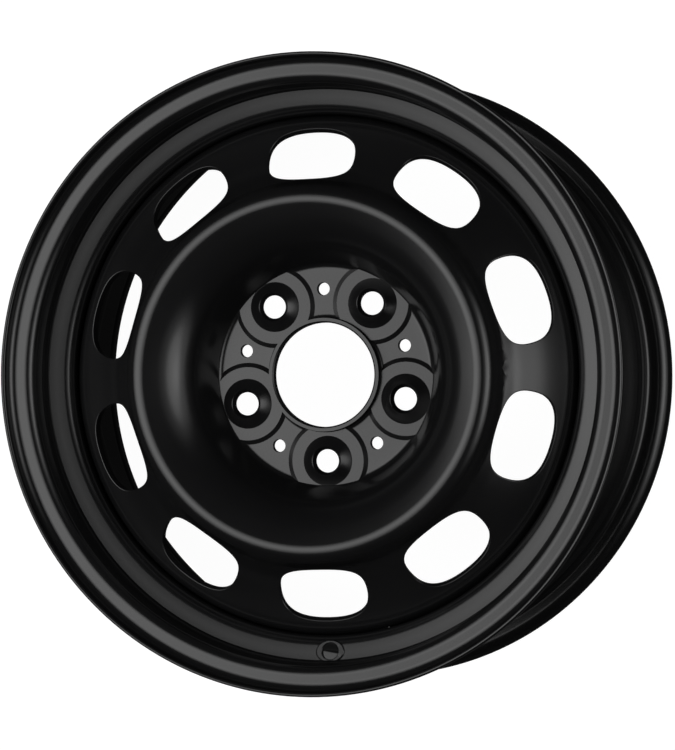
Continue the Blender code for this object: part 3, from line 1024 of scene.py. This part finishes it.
def lamp(name, azimuth, spread, rise, radiance, turn):
    """An oval soft box facing the wheel, with its half angles seen from the hub."""
    azimuth, spread, rise = math.radians(azimuth), math.radians(spread), math.radians(rise)
    way = Vector((math.sin(azimuth), 0, math.cos(azimuth)))
    light = bpy.data.lights.new(name, "AREA")
    light.shape = "ELLIPSE"
    light.size = 2 * LAMP_DISTANCE * math.tan(spread)
    light.size_y = 2 * LAMP_DISTANCE * math.tan(rise)
    light.energy = radiance * math.pi * math.pi / 4 * light.size * light.size_y
    thing = bpy.data.objects.new(name, light)
    bpy.context.scene.collection.objects.link(thing)
    facing = (-way).to_track_quat("-Z", "Y").to_matrix().to_4x4()
    thing.matrix_world = Matrix.Rotation(turn, 4, "Z") @ Matrix.Translation(
        way * LAMP_DISTANCE) @ facing


def white_share(nodes, links):
    """The share of the white background in what a ray sees, in full for camera and glass."""
    path = nodes.new("ShaderNodeLightPath")
    mirrored = maths(nodes, "MULTIPLY", MIRRORED_WHITE)
    clear, share = maths(nodes, "MAXIMUM"), maths(nodes, "MAXIMUM")
    links.new(path.outputs["Is Glossy Ray"], mirrored.inputs[0])
    links.new(path.outputs["Is Camera Ray"], clear.inputs[0])
    links.new(path.outputs["Is Transmission Ray"], clear.inputs[1])
    links.new(clear.outputs[0], share.inputs[0])
    links.new(mirrored.outputs[0], share.inputs[1])
    return share.outputs[0]


def floor_material(finish):
    """Pale floor that shows white to the camera and keeps a soft shadow."""
    material = bpy.data.materials.new("pale_floor")
    material.use_nodes = True
    nodes, links = material.node_tree.nodes, material.node_tree.links
    shader = nodes["Principled BSDF"]
    shader.inputs["Base Color"].default_value = (*finish.floor, 1)
    shader.inputs["Roughness"].default_value = 0.8
    shader.inputs["Specular IOR Level"].default_value = 0.0
    glow = nodes.new("ShaderNodeEmission")
    glow.inputs["Strength"].default_value = FLOOR_GLOW
    thin = nodes.new("ShaderNodeBsdfDiffuse")
    thin.inputs["Color"].default_value = (*[FLOOR_SHADOW_TONE] * 3, 1)
    both = nodes.new("ShaderNodeAddShader")
    mix = nodes.new("ShaderNodeMixShader")
    links.new(glow.outputs[0], both.inputs[0])
    links.new(thin.outputs[0], both.inputs[1])
    links.new(white_share(nodes, links), mix.inputs["Fac"])
    links.new(shader.outputs[0], mix.inputs[1])
    links.new(both.outputs[0], mix.inputs[2])
    links.new(mix.outputs[0], nodes["Material Output"].inputs["Surface"])
    return material


def make_floor(scene):
    """The floor at the wheel's foot, as a part of the stage."""
    mesh = bpy.data.meshes.new("floor")
    shape = bmesh.new()
    bmesh.ops.create_grid(shape, x_segments=1, y_segments=1, size=FLOOR_HALF_SIZE)
    shape.to_mesh(mesh)
    shape.free()
    mesh.materials.append(floor_material(scene.wheel_finish))
    floor = bpy.data.objects.new("floor", mesh)
    scene.collection.objects.link(floor)
    floor.location.z = CAD_BOUNDS[0][2]


def make_world(scene):
    """A dark room with the photo's white background."""
    world = bpy.data.worlds.new("studio")
    scene.world = world
    world.use_nodes = True
    nodes, links = world.node_tree.nodes, world.node_tree.links
    tone = nodes.new("ShaderNodeMix")
    tone.data_type = "RGBA"
    tone.inputs[6].default_value = (0, 0, 0, 1)
    tone.inputs[7].default_value = (1, 1, 1, 1)
    links.new(white_share(nodes, links), tone.inputs["Factor"])
    links.new(tone.outputs[2], nodes["Background"].inputs["Color"])


def make_camera(scene, turn):
    """The photograph's camera, turned about the wheel's axis as the photo's wheel is."""
    stage = scene.wheel_stage
    data = bpy.data.cameras.new("photo_camera")
    data.sensor_width = SENSOR_WIDTH
    data.lens = SENSOR_WIDTH * stage.focal_pixels / PHOTO_HEIGHT
    data.clip_end = CAMERA_REACH
    camera = bpy.data.objects.new("photo_camera", data)
    scene.collection.objects.link(camera)
    look = (Matrix.Rotation(turn, 4, "Z") @ Matrix.Rotation(stage.yaw, 4, "Y")
            @ Matrix.Rotation(stage.pitch, 4, "X"))
    place = Matrix.Translation((stage.shift_x, stage.shift_y, stage.distance))
    camera.matrix_world = look @ place
    scene.camera = camera


class WHEEL_OT_stage(bpy.types.Operator):
    """Make the floor, the soft boxes and the camera of the photograph"""
    bl_idname = "steel_wheel.stage"
    bl_label = "Stage"

    def execute(self, context):
        scene = context.scene
        turn = -scene.wheel_stage.turn
        make_floor(scene)
        for name, ovals in SOFT_BOXES.items():
            for index, oval in enumerate(ovals):
                lamp(f"{name}_{index + 1}", *oval, turn)
        make_world(scene)
        make_camera(scene, turn)
        scene.view_settings.view_transform = "Standard"
        return {"FINISHED"}


class WHEEL_PT_panel(bpy.types.Panel):
    """Lists the wheel's sizes and its operators"""
    bl_label = "Steel Wheel"
    bl_idname = "WHEEL_PT_panel"
    bl_space_type = "VIEW_3D"
    bl_region_type = "UI"
    bl_category = "Steel Wheel"

    def draw(self, context):
        layout = self.layout
        scene = context.scene
        for title, group in (("Rim", scene.wheel_rim), ("Disc", scene.wheel_disc),
                             ("Finish", scene.wheel_finish), ("Stage", scene.wheel_stage)):
            box = layout.box()
            box.label(text=title)
            for key in group.bl_rna.properties.keys():
                if key not in ("rna_type", "name"):
                    box.prop(group, key)
        for operator in OPERATORS:
            layout.operator(operator.bl_idname)


GROUPS = {
    "wheel_rim": RimSizes,
    "wheel_disc": DiscSizes,
    "wheel_finish": FinishSettings,
    "wheel_stage": StageSettings,
}
OPERATORS = (WHEEL_OT_rim, WHEEL_OT_disc, WHEEL_OT_beads, WHEEL_OT_stage)


def register():
    """Register the classes and hang the sizes on the scene."""
    for group in GROUPS.values():
        bpy.utils.register_class(group)
    for operator in OPERATORS:
        bpy.utils.register_class(operator)
    bpy.utils.register_class(WHEEL_PT_panel)
    for name, group in GROUPS.items():
        setattr(bpy.types.Scene, name, PointerProperty(type=group))


def unregister():
    """Take away what register added."""
    for name in GROUPS:
        delattr(bpy.types.Scene, name)
    bpy.utils.unregister_class(WHEEL_PT_panel)
    for operator in reversed(OPERATORS):
        bpy.utils.unregister_class(operator)
    for group in reversed(GROUPS.values()):
        bpy.utils.unregister_class(group)


def main():
    register()
    turned_tree()
    ring_tree()
    bpy.ops.steel_wheel.rim()
    bpy.ops.steel_wheel.disc()
    bpy.ops.steel_wheel.beads()
    bpy.ops.steel_wheel.stage()


if __name__ == "__main__":
    main()
